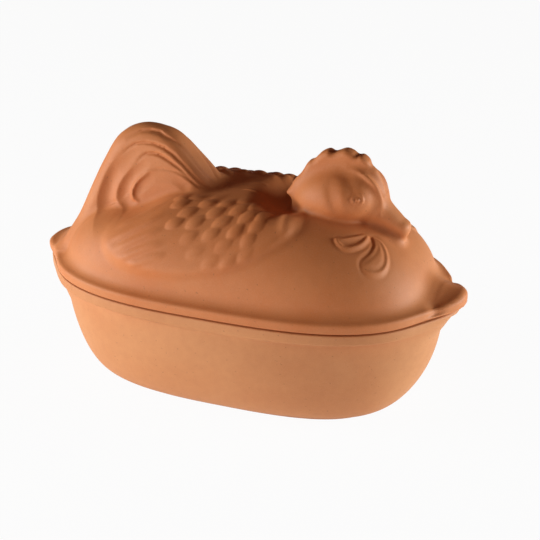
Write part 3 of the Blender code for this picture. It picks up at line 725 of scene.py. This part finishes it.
def body(p):
    """The plain domed body, wide at the rim and closing over at its crest."""
    x, y = np.abs(p[:, 0]) / BODY_HALF_LENGTH, np.abs(p[:, 1]) / BODY_HALF_WIDTH
    across = ((p[:, 0] - BACK_DIP_X) / BACK_DIP_REACH[0]) ** 2 + (p[:, 1] / BACK_DIP_REACH[1]) ** 2
    flank = ((p[:, 0] - FLANK_DIP_PLACE[0]) / FLANK_DIP_REACH) ** 2
    flank += ((np.abs(p[:, 1]) - FLANK_DIP_PLACE[1]) / FLANK_DIP_REACH) ** 2
    dip = BACK_DIP * np.exp(-across) + FLANK_DIP * np.exp(-flank)
    t = np.maximum(p[:, 2] - RIM_HEIGHT + dip, 0) / BODY_HEIGHT
    plan = x ** BODY_POWER_X + y ** BODY_POWER_Y + TINY
    value = plan ** BODY_ROUNDNESS + t ** BODY_CREST - 1
    lead = BODY_ROUNDNESS * plan ** (BODY_ROUNDNESS - 1)
    slope = np.sqrt((lead * BODY_POWER_X * x ** (BODY_POWER_X - 1) / BODY_HALF_LENGTH) ** 2
                    + (lead * BODY_POWER_Y * y ** (BODY_POWER_Y - 1) / BODY_HALF_WIDTH) ** 2
                    + (BODY_CREST * t ** (BODY_CREST - 1) / BODY_HEIGHT) ** 2)
    return value / (slope + LEAST_SLOPE)


def band_top(x, y):
    """Height of the rim band above the seat."""
    return BAND_HEIGHT + lug_share(x, y) * np.where(x > 0, HEAD_LUG_RISE, TAIL_LUG_RISE)


# Relief, in millimetres of rise above the plain skin

def path_stroke(p, rows):
    """Distance from a line of places, its further values there, and the side in side view."""
    best = np.full(len(p), np.inf)
    values = np.zeros((len(p), rows.shape[1] - 3))
    side = np.zeros(len(p))
    for a, b in zip(rows, rows[1:]):
        edge = b[:3] - a[:3]
        offset = p - a[:3]
        along = np.clip(offset @ edge / (edge @ edge), 0, 1)
        gap = np.linalg.norm(offset - along[:, None] * edge, axis=1)
        nearer = gap < best
        best = np.where(nearer, gap, best)
        values[nearer] = (a[3:] + (b[3:] - a[3:]) * along[:, None])[nearer]
        across = offset[:, 0] * edge[2] - offset[:, 2] * edge[0]
        side = np.where(nearer, np.sign(across), side)
    return best, values, side


def side_view(p):
    """The places with their spread across taken out behind the tail's front edge."""
    low, high = SIDE_VIEW_SPAN
    across = (p[:, 1] - SIDE_VIEW_MIDDLE) * rising(p[:, 0], low, high - low)
    return np.column_stack([p[:, 0], across, p[:, 2:]])


def tail_relief(tables, x, y, z):
    """Sickle feathers: grooves at the front and top, hollows between the lines at the back."""
    p = side_view(np.column_stack([x, y, z]) / MM)
    strokes = [path_stroke(p, rows) for rows in tables["tail_edges"]]
    rise = np.zeros(x.shape)
    for k, (gap, values, side) in enumerate(strokes):
        groove, width, hollowing = values.T
        rise -= groove * bell(gap, width)
        if k + 1 < len(strokes):
            share = gap / (gap + strokes[k + 1][0] + TINY)
            inside = (side < 0) & (strokes[k + 1][2] > 0)
        else:
            share = np.minimum(gap / LAST_HOLLOW, 1)
            inside = side < 0
        rise -= np.where(inside, hollowing * np.sin(math.pi * share), 0)
    gap, values, _ = path_stroke(p, tables["bead"])
    return rise + values[:, 0] * bell(gap, BEAD_WIDTH)


def wing_place(x, y, z):
    return x / MM, WING_GIRTH * np.arctan2(y / WING_SPREAD[0], z / WING_SPREAD[1]) / MM


def feather(u, v, tip_u, tip_v, root_u, root_v):
    """One leaf: it rises at its rounded tip and sinks under its neighbour at its root."""
    du, dv = root_u - tip_u, root_v - tip_v
    length = math.hypot(du, dv)
    behind = ((u - tip_u) * du + (v - tip_v) * dv) / length
    across = ((u - tip_u) * dv - (v - tip_v) * du) / length
    share = np.clip((behind + FEATHER_LEAD) / (length + 2 * FEATHER_LEAD), 0, 1)
    swell = np.sin(math.pi * share ** FEATHER_SKEW)
    width = FEATHER_HALF_WIDTH * swell ** FEATHER_FULLNESS + TINY
    return swell ** FEATHER_CROWN * np.clip(1 - (across / width) ** 2, 0, 1)


def wing_relief(x, y, z):
    u, v = wing_place(x, y, np.maximum(z, TINY))
    rise = np.zeros(x.shape)
    for points in FEATHERS:
        rise += feather(u, v, *points) ** FEATHER_MERGE
    shown = HIGH_FEATHER_SHARE + (1 - HIGH_FEATHER_SHARE) * rising(v, *HIGH_FEATHER_SPAN)
    rise = FEATHER_RISE * rise ** (1 / FEATHER_MERGE) * shown
    rise = rise * (1 - LOW_FEATHER_LOSS * rising(v, *LOW_FEATHER_SPAN))
    tip_fade, root_fade = LONG_FEATHER_FADES
    for points in LONG_FEATHERS:
        gap, share = stroke(u, v, points)
        ridge = np.cos(np.clip(gap / LONG_FEATHER_HALF_WIDTH, 0, 1) * math.pi / 2) ** 2
        ridge = ridge * falling(share, *root_fade) * rising(share, *tip_fade)
        rise = smooth_max(rise, LONG_FEATHER_RISE * ridge, LONG_FEATHER_BLEND)
    for points, height, width, growth, fade in WING_LINES:
        gap, share = stroke(u, v, points)
        rise += height * bell(gap, width) * rising(share, *growth) * falling(share, *fade)
    return rise


def face_relief(tables, x, y, z):
    p = np.column_stack([x, y, z]) / MM
    rise = np.zeros(x.shape)
    for width, rows in tables["face"]:
        gap, values, _ = path_stroke(p, rows)
        rise += values[:, 0] * bell(gap, width)
    gap, values, side = path_stroke(p, tables["face_ring"])
    return rise + values[:, 0] * bell(gap, np.where(side > 0, *FACE_RING_WIDTHS))


def eye_relief(x, y, z):
    normal = np.array(EYE_NORMAL) / np.linalg.norm(EYE_NORMAL)
    offset = np.column_stack([x, y, z]) / MM - np.array(EYE)
    flat = offset - (offset @ normal)[:, None] * normal
    radius = np.linalg.norm(flat, axis=1) + TINY
    level = 1 - (flat[:, 2] / radius) ** 2
    near = np.exp(-(np.linalg.norm(offset, axis=1) / EYE_REACH) ** 4)
    ball = EYEBALL_RISE * bell(radius, EYEBALL_WIDTH)
    lids = EYELID_RISE * bell(radius - EYE_RADIUS, EYELID_WIDTH)
    lids = lids * (EYE_CORNER_SHARE + (1 - EYE_CORNER_SHARE) * level)
    return (ball + lids) * near


def wattle_relief(tables, x, y, z):
    gap = tables["rear_wattle"](x, y) / MM
    place, width = REAR_WATTLE_GROOVE
    rise = WATTLE_RIM * bell(gap + WATTLE_RIM_INSET, WATTLE_RIM_WIDTH)
    rise -= (REAR_WATTLE_DISHING * falling(gap, *REAR_WATTLE_DISHING_SPAN)
             + REAR_WATTLE_GROOVE_DEPTH * bell(gap - place, width))
    gap = tables["front_wattle"](x, y) / MM
    place, width = FRONT_WATTLE_GROOVE
    right = rising(x / MM, *FRONT_WATTLE_SPAN)
    rim = WATTLE_RIM * (FRONT_WATTLE_LEAST_RIM + (1 - FRONT_WATTLE_LEAST_RIM) * right)
    rise += rim * bell(gap + WATTLE_RIM_INSET, WATTLE_RIM_WIDTH)
    rise += FRONT_WATTLE_SWELL * falling(gap, *FRONT_WATTLE_SWELL_SPAN)
    depth = FRONT_WATTLE_GROOVE_DEPTH - FRONT_WATTLE_GROOVE_LOSS * right
    rise -= depth * bell(gap - place, width)
    return rise * falling(z / MM, *WATTLE_TOP_SPAN)


def wing_mask(tables, x, z):
    """One on the wing, fading out over its edge and at its top."""
    inside = smooth_step(0.5 - tables["wing"](x, z) / WING_EDGE_FADE)
    return inside * falling(z, *WING_TOP_SPAN)


def within(zone, x, z):
    least_x, most_x, least_z, most_z = zone
    return (x > least_x) & (x < most_x) & (z > least_z) & (z < most_z)


def relief(tables, x, y, z):
    """Rise of the skin above the plain forms, only worked out where there is any."""
    rise = np.zeros(x.shape)
    wing = wing_mask(tables, x, z)
    part = within(TAIL_ZONE, x, z)
    rise[part] += tail_relief(tables, x[part], y[part], z[part]) * (1 - wing[part])
    part = within(WING_ZONE, x, z)
    rise[part] += wing_relief(x[part], y[part], z[part]) * wing[part]
    part = within(FACE_ZONE, x, z)
    rise[part] += face_relief(tables, x[part], y[part], z[part])
    rise[part] += eye_relief(x[part], y[part], z[part])
    part = within(WATTLE_ZONE, x, z) & (y > WATTLE_LEAST_Y)
    rise[part] += wattle_relief(tables, x[part], y[part], z[part])
    return rise * MM


def hen(tables, p, skull_blend=SKULL_BLEND):
    """Distance from the hen's soft masses, without the rim, comb and beak."""
    x, y, z = p[:, 0], np.abs(p[:, 1]), p[:, 2] - RIM_HEIGHT
    q = np.column_stack([x, y, z])
    d = smooth_max(body(p), -ellipsoid(q, NECK_HOLLOW, NECK_RADII), SOFT_BLEND)
    rise = WING_RISE * np.clip((y - WING_RISE_START) / WING_RISE_RUN, 0, 1)
    rise = rise * (1 - WING_TAPER * falling(x, *WING_TAPER_SPAN))
    wing = smooth_max(d - rise, tables["wing"](x, z), FIRM_BLEND)
    d = smooth_min(d, wing, np.interp(x, WING_BLEND_SPAN, WING_BLENDS))
    spread = TAIL_HALF_THICKNESS + TAIL_SPREAD * np.maximum(TAIL_TOP - z, 0)
    tail = rounded_slab(tables["tail"](x, z), y - spread, TAIL_ROUND)
    d = smooth_min(d, tail, TAIL_BLEND)
    return smooth_min(d, ellipsoid(q, SKULL, SKULL_RADII, SKULL_PITCH), skull_blend)


def skin(tables, p):
    """Distance from the outside of the lid above its rim band."""
    x, y, z = p[:, 0], np.abs(p[:, 1]), p[:, 2] - RIM_HEIGHT
    q = np.column_stack([x, y, z])
    d = hen(tables, p)
    head = rounded_slab(tables["head"](x, z), y - HEAD_HALF_THICKNESS, HEAD_ROUND)
    d = smooth_min(d, head, COMB_BLEND)
    beak = tapered_rod(q, BEAK_ROOT, BEAK_TIP, BEAK_ROOT_RADIUS, BEAK_TIP_RADIUS)
    d = smooth_min(d, beak, FIRM_BLEND)
    d = d - relief(tables, x, y, z)
    flat = tables["rim"](x, y) + SKIN_TUCK
    edge = edge_round(TOP_ROUND, p)
    rim = rounded_slab(flat, z - SEAT_GAP - band_top(x, y) + SKIN_TUCK, edge)
    along = np.clip((np.abs(x) - LUG_COVE_START) / LUG_COVE_RUN, 0, 1)
    cove = COVE + LUG_COVE * along * np.exp(-(y / LUG_COVE_HALF_WIDTH) ** 2)
    d = smooth_min(d, rim, cove)
    d = np.maximum(d, flat)
    return np.maximum(d, SEAT + SEAM_ROUND - p[:, 2])


def hollow(tables, p):
    """Distance from the space inside the lid, which opens downwards."""
    throat = tables["throat"](p[:, 0], p[:, 1])
    d = smooth_max(hen(tables, p, FIRM_BLEND) + LID_WALL, throat, FIRM_BLEND)
    return np.maximum(d, HOLLOW_BASE - p[:, 2])


def form_tables():
    def scaled(points):
        return flat_distance(smooth_loop(np.array(points) * MM))
    return {
        "tail": flat_distance(smooth_loop(TAIL_OUTLINE)),
        "wing": flat_distance(smooth_loop(WING_OUTLINE)),
        "head": flat_distance(smooth_loop(HEAD_OUTLINE)),
        "rim": flat_distance(lugged_rim(0.0)),
        "throat": flat_distance(throat_oval()),
        "tail_edges": [side_view(smooth_path(points)) for points in TAIL_EDGES],
        "bead": side_view(smooth_path(BEAD)),
        "face": [(width, smooth_path(points)) for width, points in FACE_STROKES.values()],
        "face_ring": smooth_path(FACE_RING),
        "front_wattle": scaled(FRONT_WATTLE),
        "rear_wattle": scaled(REAR_WATTLE),
    }


# Meshes

def new_object(name, data):
    thing = bpy.data.objects.new(name, data)
    SCENE.collection.objects.link(thing)
    return thing


def settle(mesh, field):
    """Draws each vertex along the field's slope until it lies on the field's surface."""
    count = len(mesh.vertices)
    p = np.empty(count * 3)
    mesh.vertices.foreach_get("co", p)
    p = p.reshape(-1, 3)
    for _ in range(SETTLE_ROUNDS):
        value = field(p)
        slope = np.column_stack([field(p + NUDGE * axis) - value for axis in np.eye(3)]) / NUDGE
        size = (slope ** 2).sum(1) + SETTLE_DAMPING
        step = value[:, None] * slope / size[:, None]
        length = np.linalg.norm(step, axis=1)[:, None] + TINY
        p = p - step * np.minimum(1, SETTLE_STRIDE / length)
    mesh.vertices.foreach_set("co", p.ravel())
    mesh.update()


def evaluated_mesh(thing):
    graph = bpy.context.evaluated_depsgraph_get()
    return bpy.data.meshes.new_from_object(thing.evaluated_get(graph))


def remeshed(mesh, voxel):
    thing = new_object("rough", mesh)
    remesh = thing.modifiers.new("Even out", "REMESH")
    remesh.mode = "VOXEL"
    remesh.voxel_size = voxel
    result = evaluated_mesh(thing)
    bpy.data.objects.remove(thing)
    return result


def add_ball(bm, centre, radii, pitch=0.0):
    place = (Matrix.Translation(centre) @ Matrix.Rotation(-pitch, 4, "Y")
             @ Matrix.Diagonal((*radii, 1.0)))
    bmesh.ops.create_uvsphere(bm, u_segments=BALL_SEGMENTS, v_segments=BALL_RINGS, radius=1.0,
                              matrix=place)


def add_outline(bm, outline, half_thickness):
    """A flat closed curve of the outline, given its thickness and stood upright."""
    curve = bpy.data.curves.new("outline", "CURVE")
    curve.dimensions = "2D"
    curve.fill_mode = "BOTH"
    curve.extrude = half_thickness
    loop = smooth_loop(outline)
    spline = curve.splines.new("POLY")
    spline.points.add(len(loop) - 1)
    for point, (x, z) in zip(spline.points, loop):
        point.co = (x, z, 0, 1)
    spline.use_cyclic_u = True
    thing = new_object("outline", curve)
    mesh = evaluated_mesh(thing)
    mesh.transform(Matrix.Translation((0, 0, RIM_HEIGHT)) @ Matrix.Rotation(math.pi / 2, 4, "X"))
    bm.from_mesh(mesh)
    bpy.data.objects.remove(thing)


def above_rim(point):
    return (point[0], point[1], point[2] + RIM_HEIGHT)


def rough_hen():
    """The hen's masses as plain overlapping solids, before they are melted together."""
    bm = bmesh.new()
    foot = oval(BODY_HALF_LENGTH, BODY_HALF_WIDTH, BODY_POWER_X, BODY_POWER_Y)
    rings = [ring(foot, HOLLOW_BASE)]
    for i in range(ROUGH_RINGS):
        t = i / ROUGH_RINGS
        shrink = (1 - t ** BODY_CREST) ** (1 / (BODY_ROUNDNESS * BODY_POWER_X))
        rings.append(ring(foot * shrink, RIM_HEIGHT + BODY_HEIGHT * t))
    bm.from_mesh(loft("body", rings))
    add_ball(bm, above_rim(SKULL), SKULL_RADII, SKULL_PITCH)
    add_outline(bm, TAIL_OUTLINE, TAIL_HALF_THICKNESS)
    return bm


def to_mesh(bm, name):
    mesh = bpy.data.meshes.new(name)
    bm.to_mesh(mesh)
    bm.free()
    return mesh


def cut_below(bm, height):
    """Cuts away what reaches below a height and closes each cut face."""
    geometry = bm.verts[:] + bm.edges[:] + bm.faces[:]
    bmesh.ops.bisect_plane(bm, geom=geometry, plane_co=(0, 0, height), plane_no=(0, 0, 1),
                           clear_inner=True)
    bmesh.ops.holes_fill(bm, edges=[edge for edge in bm.edges if edge.is_boundary])


def melted(bm, floor, voxels, field):
    """Melts overlapping solids into one skin and settles it on the field, ever finer."""
    cut_below(bm, floor)
    mesh = to_mesh(bm, "mass")
    for voxel in voxels:
        mesh = remeshed(mesh, voxel)
        settle(mesh, field)
    return mesh


def lid_skin(tables):
    bm = rough_hen()
    add_outline(bm, HEAD_OUTLINE, HEAD_HALF_THICKNESS)
    add_ball(bm, above_rim(BEAK_TIP), ROUGH_BEAK_RADII)
    band = [ring(lugged_rim(BAND_ROUND), SEAT + level) for level in (0, BAND_HEIGHT)]
    bm.from_mesh(loft("band", band))
    return melted(bm, SEAT + SEAM_ROUND, (ROUGH_VOXEL, SKIN_VOXEL, SKIN_VOXEL),
                  lambda p: skin(tables, p))


def lid_hollow(tables):
    return melted(rough_hen(), HOLLOW_BASE, (HOLLOW_VOXEL, HOLLOW_VOXEL),
                  lambda p: hollow(tables, p))


def band_rings():
    """The lid's rim band with its flat seat and, inside the seat, the locating tongue."""
    tongue = RIM_LAND + TONGUE_CLEARANCE
    rim = lugged_rim(0.0)
    top, edge = band_top(rim[:, 0], rim[:, 1]), edge_round(SEAM_ROUND, rim)
    rings = []
    for turn in EDGE_TURNS:
        inset = tongue + BAND_ROUND * (1 - math.sin(turn))
        rings.append(ring(rim_oval(inset), SEAT - TONGUE_DEPTH + (1 - math.cos(turn)) * BAND_ROUND))
    rings.append(ring(rim_oval(tongue), SEAT))
    rings += lower_edge(rim, SEAT, edge)
    low, edge = SEAT + edge, edge_round(TOP_ROUND, rim)
    rings += [ring(rim, low + (SEAT + top - edge - low) * share) for share in LID_BAND_SHARES]
    rings += upper_edge(rim, SEAT + top, edge)
    return rings + [ring(drawn_in(rim, 2 * edge), SEAT + top - edge)]


def joined(base, other, operation):
    """The mesh of two closed solids, united or one cut from the other."""
    thing = new_object("base", base)
    tool = new_object("tool", other)
    cut = thing.modifiers.new("Join", "BOOLEAN")
    cut.operation = operation
    cut.object = tool
    cut.solver = "EXACT"
    result = evaluated_mesh(thing)
    bpy.data.objects.remove(thing)
    bpy.data.objects.remove(tool)
    return result


# Clay

def set_inputs(tree, node, inputs):
    """Links each input that is given a socket, and sets the others."""
    for name, value in inputs.items():
        if isinstance(value, bpy.types.NodeSocket):
            tree.links.new(value, node.inputs[name])
        else:
            node.inputs[name].default_value = value


def add_node(tree, kind, inputs):
    node = tree.nodes.new(kind)
    set_inputs(tree, node, inputs)
    return node


def clay(name, seed, deep, pale):
    """Unglazed clay: clouded ground, speckle, shade painted darker into its creases and hollows,
    and a fine grain.
    """
    material = bpy.data.materials.new(name)
    material.use_nodes = True
    tree = material.node_tree
    place = add_node(tree, "ShaderNodeTexCoord", {}).outputs["Object"]
    shifted = add_node(tree, "ShaderNodeVectorMath",
                       {0: place, 1: [seed * share for share in CLAY_SHIFT]})
    shifted.operation = "ADD"

    def noise(scale, detail, rough):
        return add_node(tree, "ShaderNodeTexNoise",
                        {"Vector": shifted.outputs[0], "Scale": scale, "Detail": detail,
                         "Roughness": rough}).outputs["Fac"]

    def span(value, low, high, out_low, out_high):
        return add_node(tree, "ShaderNodeMapRange",
                        {"Value": value, "From Min": low, "From Max": high, "To Min": out_low,
                         "To Max": out_high}).outputs["Result"]

    def mix(factor, under, over):
        node = add_node(tree, "ShaderNodeMix", {"Factor": factor, MIX_A: under, MIX_B: over})
        node.data_type = "RGBA"
        return node.outputs[MIX_RESULT]

    colour = mix(span(noise(*CLAY_GROUND), *CLAY_GROUND_SPAN, 0.0, 1.0), deep, pale)
    for pattern, shown, strength, speckle in CLAY_SPECKLES:
        colour = mix(span(noise(*pattern), *shown, 0.0, strength), colour, speckle)
    # Painted shade: creases and hollows darkened towards a deep red-brown where ambient occlusion
    # finds them
    occlusion = add_node(tree, "ShaderNodeAmbientOcclusion", {"Distance": PAINTED_SHADE_REACH})
    occlusion.samples = PAINTED_SHADE_SAMPLES
    painted_shade = span(occlusion.outputs["AO"], *PAINTED_SHADE_SPAN, PAINTED_SHADE_STRENGTH, 0.0)
    grain = add_node(tree, "ShaderNodeBump", {"Strength": GRAIN_STRENGTH, "Height": noise(*GRAIN),
                                              "Distance": GRAIN_HEIGHT})
    set_inputs(tree, tree.nodes["Principled BSDF"], {
        "Base Color": mix(painted_shade, colour, PAINTED_SHADE_COLOUR),
        "Normal": grain.outputs["Normal"],
        "Roughness": CLAY_ROUGHNESS,
        "Specular IOR Level": CLAY_SPECULAR,
        "Diffuse Roughness": CLAY_DIFFUSE_ROUGHNESS,
    })
    return material


def dressed(piece, material, node, body):
    piece.data.materials.clear()
    piece.data.materials.append(material)
    piece.data.shade_smooth()
    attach(piece, body)
    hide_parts(node)


def move_vertices(mesh, shift):
    """Moves each vertex by what the function gives for its place."""
    p = np.empty(len(mesh.vertices) * 3)
    mesh.vertices.foreach_get("co", p)
    p = p.reshape(-1, 3)
    mesh.vertices.foreach_set("co", (p + shift(p)).ravel())
    mesh.update()


def lug_dips(p):
    """A thumb's hollow in the rim band on each side of the head lug."""
    place = np.column_stack([p[:, 0], np.abs(p[:, 1]), p[:, 2] - RIM_HEIGHT])
    near = np.exp(-(((place - LUG_DIP) / LUG_DIP_REACH) ** 2).sum(1))
    near = near * smooth_step((p[:, 2] - SEAT - SEAM_ROUND) / LUG_DIP_FADE)
    sides = np.column_stack([np.ones(len(p)), np.sign(p[:, 1]), np.ones(len(p))])
    return -LUG_DIP_DEPTH * near[:, None] * LUG_DIP_PUSH * sides


def hand_waves(p):
    """The slight unevenness of a pressed and sponged wall."""
    angle = np.arctan2(p[:, 1], p[:, 0])
    wave = sum(share * np.sin(turns * angle + phase + lean * p[:, 2])
               for share, turns, phase, lean in WAVES)
    inside = rising(p[:, 2], *WAVE_FOOT_SPAN) * falling(p[:, 2], *WAVE_RIM_SPAN)
    flat = np.column_stack([np.cos(angle), np.sin(angle), np.zeros(len(p))])
    return WAVE_HEIGHT * (wave * inside)[:, None] * flat


def build_pieces():
    tables = form_tables()
    dish = new_object("dish_shell", loft("dish_shell", dish_rings()))
    move_vertices(dish.data, hand_waves)
    dressed(dish, clay("dish_clay", *DISH_CLAY), "base_dish", "dish")
    mesh = joined(loft("lid_shell", band_rings()), lid_skin(tables), "UNION")
    mesh = joined(mesh, lid_hollow(tables), "DIFFERENCE")
    move_vertices(mesh, lug_dips)
    mesh.name = "lid_shell"
    lid = new_object("lid_shell", mesh)
    dressed(lid, clay("lid_clay", *LID_CLAY), "lid", "lid")


# Studio

def floor_material():
    """A pale floor that keeps shadows, and glows more where the camera sees it."""
    material = bpy.data.materials.new("studio_floor")
    material.use_nodes = True
    tree = material.node_tree
    shader = tree.nodes["Principled BSDF"]
    set_inputs(tree, shader, {"Base Color": FLOOR_COLOUR, "Roughness": FLOOR_ROUGHNESS})
    glow = add_node(tree, "ShaderNodeEmission", {"Color": WHITE})
    seen = add_node(tree, "ShaderNodeLightPath", {}).outputs["Is Camera Ray"]
    share = add_node(tree, "ShaderNodeMath", {0: seen, 1: FLOOR_GLOW_SEEN, 2: FLOOR_GLOW})
    share.operation = "MULTIPLY_ADD"
    mix = add_node(tree, "ShaderNodeMixShader",
                   {0: share.outputs[0], 1: shader.outputs["BSDF"], 2: glow.outputs["Emission"]})
    set_inputs(tree, tree.nodes["Material Output"], {"Surface": mix.outputs[0]})
    return material


def build_floor():
    bm = bmesh.new()
    bmesh.ops.create_grid(bm, x_segments=FLOOR_SEGMENTS, y_segments=FLOOR_SEGMENTS,
                          size=FLOOR_HALF_SIZE, matrix=Matrix.Translation((0, 0, -FLOOR_DROP)))
    floor = new_object("studio_floor", to_mesh(bm, "studio_floor"))
    floor.data.materials.append(floor_material())


def camera_axes():
    """Directions to the camera's right, up, and back from what it looks at."""
    azimuth, elevation = CAMERA_AZIMUTH, CAMERA_ELEVATION
    back = Vector((math.sin(azimuth) * math.cos(elevation),
                   -math.cos(azimuth) * math.cos(elevation), math.sin(elevation)))
    right = Vector((math.cos(azimuth), math.sin(azimuth), 0.0))
    return right, back.cross(right), back


def build_camera():
    right, up, back = camera_axes()
    data = bpy.data.cameras.new("camera")
    data.lens = CAMERA_LENS
    data.sensor_width = CAMERA_SENSOR
    camera = new_object("camera", data)
    place = Vector(CAMERA_TARGET) + back * CAMERA_DISTANCE + right * CAMERA_RIGHT + up * CAMERA_UP
    camera.matrix_world = (Matrix.Translation(place)
                           @ Matrix((right, up, back)).transposed().to_4x4())
    SCENE.camera = camera


def area_light(name, place, size, power, colour):
    side, front, height = place
    right = camera_axes()[0]
    near = Vector((right.y, -right.x, 0.0))
    data = bpy.data.lights.new(name, "AREA")
    data.shape = "RECTANGLE"
    data.size, data.size_y = size
    data.energy = power
    data.color = colour
    lamp = new_object(name, data)
    lamp.location = right * side + near * front + Vector((0, 0, height))
    lamp.rotation_euler = (Vector(LAMP_AIM) - lamp.location).to_track_quat("-Z", "Y").to_euler()


def build_lights():
    for name, settings in LAMPS.items():
        area_light(name, *settings)
    world = bpy.data.worlds.new("studio")
    SCENE.world = world
    world.use_nodes = True
    tree = world.node_tree
    soft = tree.nodes["Background"]
    set_inputs(tree, soft, {"Color": SKY_COLOUR, "Strength": SKY_STRENGTH})
    white = add_node(tree, "ShaderNodeBackground", {"Color": WHITE})
    seen = add_node(tree, "ShaderNodeLightPath", {}).outputs["Is Camera Ray"]
    mix = add_node(tree, "ShaderNodeMixShader", {0: seen, 1: soft.outputs[0], 2: white.outputs[0]})
    set_inputs(tree, tree.nodes["World Output"], {"Surface": mix.outputs[0]})


build_camera()
build_lights()
build_floor()
build_pieces()
SCENE.view_settings.view_transform = "Standard"
